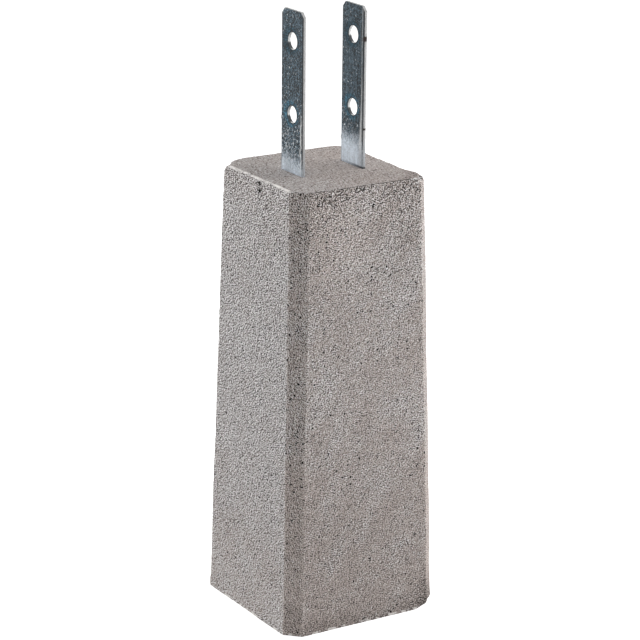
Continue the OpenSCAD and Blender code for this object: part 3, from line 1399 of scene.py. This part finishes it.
class PLINTH_OT_build_block(bpy.types.Operator):
    """Build the cast concrete block in place of its plain solid"""

    bl_idname = "plinth.build_block"
    bl_label = "Concrete Block"

    def execute(self, context):
        settings = context.scene.plinth_block
        thing = build_block(settings, concrete_material(settings))
        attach(thing, ROOT)
        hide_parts("concrete_plinth")
        return {"FINISHED"}


class PLINTH_OT_build_straps(bpy.types.Operator):
    """Build the two galvanised straps in place of their plain solids"""

    bl_idname = "plinth.build_straps"
    bl_label = "Galvanised Straps"

    def execute(self, context):
        settings = context.scene.plinth_strap
        material = zinc_material(settings)
        reach = STRAP_HIGH.z - BLOCK_HIGH.z
        drip = (19.6 * MM, 52 * MM, 1.9 * MM)
        build_strap(
            "strap_left", "left_strap", settings, material, 0.42 * reach, 1.5 * MM, 0.1 * MM, drip
        )
        drip = (19.6 * MM, 24 * MM, 2.1 * MM)
        build_strap(
            "strap_right", "right_strap", settings, material, 1.2 * reach, 0.2 * MM, 1.5 * MM, drip
        )
        return {"FINISHED"}


# Distance of the lamps from the point that they look at, and that point
LAMP_DISTANCE = 2.4
LAMP_AIM = Vector((0.0, 0.0, 0.3))
# Half of the floor's side
FLOOR_REACH = 14.0


def soft_lamp(name, direction, degrees, power, width, height):
    """A large rectangular lamp that stands this many degrees up and looks at the plinth's middle."""
    lamp = bpy.data.lights.new(name, "AREA")
    lamp.shape = "RECTANGLE"
    lamp.size = width
    lamp.size_y = height
    lamp.energy = power
    thing = bpy.data.objects.new(name, lamp)
    bpy.context.scene.collection.objects.link(thing)
    elevation = math.radians(degrees)
    level = Vector((*direction, 0.0)).normalized() * LAMP_DISTANCE * math.cos(elevation)
    thing.location = LAMP_AIM + level + Vector((0, 0, LAMP_DISTANCE * math.sin(elevation)))
    thing.rotation_euler = (thing.location - LAMP_AIM).to_track_quat("Z", "Y").to_euler()


def add_floor():
    """The floor, as part of the stage."""
    far = FLOOR_REACH
    corners = [(-far, -far, 0), (far, -far, 0), (far, far, 0), (-far, far, 0)]
    add_mesh("studio_floor", corners, [(0, 1, 2, 3)], [floor_material()])


def add_world(scene, sky):
    """Even light from all sides, of strength sky, that looks white where it is seen itself."""
    world = bpy.data.worlds.new("studio_world")
    scene.world = world
    n = Nodes(world)
    strength = n.sum(n.times(seen_directly(n), 1.0 - sky), sky)
    background = n.add("ShaderNodeBackground", {"Color": WHITE, "Strength": strength})
    n.add("ShaderNodeOutputWorld", {"Surface": background.outputs[0]})


def add_camera(scene, settings):
    """The camera, placed round the point that it looks at."""
    camera = bpy.data.cameras.new("main_camera")
    camera.lens = settings.lens
    camera.clip_end = 100.0
    eye = bpy.data.objects.new("main_camera", camera)
    scene.collection.objects.link(eye)
    scene.camera = eye
    level = math.cos(settings.elevation)
    x = math.sin(settings.azimuth) * level
    y = -math.cos(settings.azimuth) * level
    back = Vector((x, y, math.sin(settings.elevation)))
    eye.location = Vector(settings.aim) + back * settings.distance
    turn = (-back).to_track_quat("-Z", "Y").to_euler()
    turn.rotate_axis("Z", settings.roll)
    eye.rotation_euler = turn


class PLINTH_OT_build_stage(bpy.types.Operator):
    """Build the floor, the lamps, the world and the camera"""

    bl_idname = "plinth.build_stage"
    bl_label = "Studio Stage"

    def execute(self, context):
        settings = context.scene.plinth_stage
        context.scene.view_settings.view_transform = "Standard"
        add_floor()
        add_world(context.scene, settings.sky)
        soft_lamp("left_lamp", (-0.82, 0.57), 9, settings.left_lamp, 1.7, 1.3)
        soft_lamp("right_lamp", (0.9, -0.43), 9, settings.right_lamp, 1.7, 1.3)
        soft_lamp("top_lamp", (0.5, 0.85), 84, settings.top_lamp, 3.2, 3.2)
        add_camera(context.scene, settings)
        return {"FINISHED"}


class PLINTH_PT_sidebar(bpy.types.Panel):
    """The plinth's pieces and their settings"""

    bl_idname = "PLINTH_PT_sidebar"
    bl_label = "Concrete Post Plinth"
    bl_space_type = "VIEW_3D"
    bl_region_type = "UI"
    bl_category = "Plinth"

    def draw(self, context):
        scene = context.scene
        for operator, group in OPERATORS:
            box = self.layout.box()
            box.operator(operator.bl_idname)
            for name in getattr(scene, group).bl_rna.properties.keys():
                if name not in {"rna_type", "name"}:
                    box.prop(getattr(scene, group), name)


OPERATORS = [
    (PLINTH_OT_build_block, "plinth_block"),
    (PLINTH_OT_build_straps, "plinth_strap"),
    (PLINTH_OT_build_stage, "plinth_stage"),
]
SETTINGS = {
    "plinth_block": PlinthBlockSettings,
    "plinth_strap": PlinthStrapSettings,
    "plinth_stage": PlinthStageSettings,
}
CLASSES = [*SETTINGS.values(), *[operator for operator, _ in OPERATORS], PLINTH_PT_sidebar]


def register():
    """Registers the classes and hangs the settings on the scene."""
    for cls in CLASSES:
        bpy.utils.register_class(cls)
    for name, group in SETTINGS.items():
        setattr(bpy.types.Scene, name, bpy.props.PointerProperty(type=group))


def unregister():
    """Takes the settings and classes away again."""
    for name in SETTINGS:
        delattr(bpy.types.Scene, name)
    for cls in reversed(CLASSES):
        bpy.utils.unregister_class(cls)


def main():
    register()
    bpy.ops.plinth.build_block()
    bpy.ops.plinth.build_straps()
    bpy.ops.plinth.build_stage()


if __name__ == "__main__":
    main()
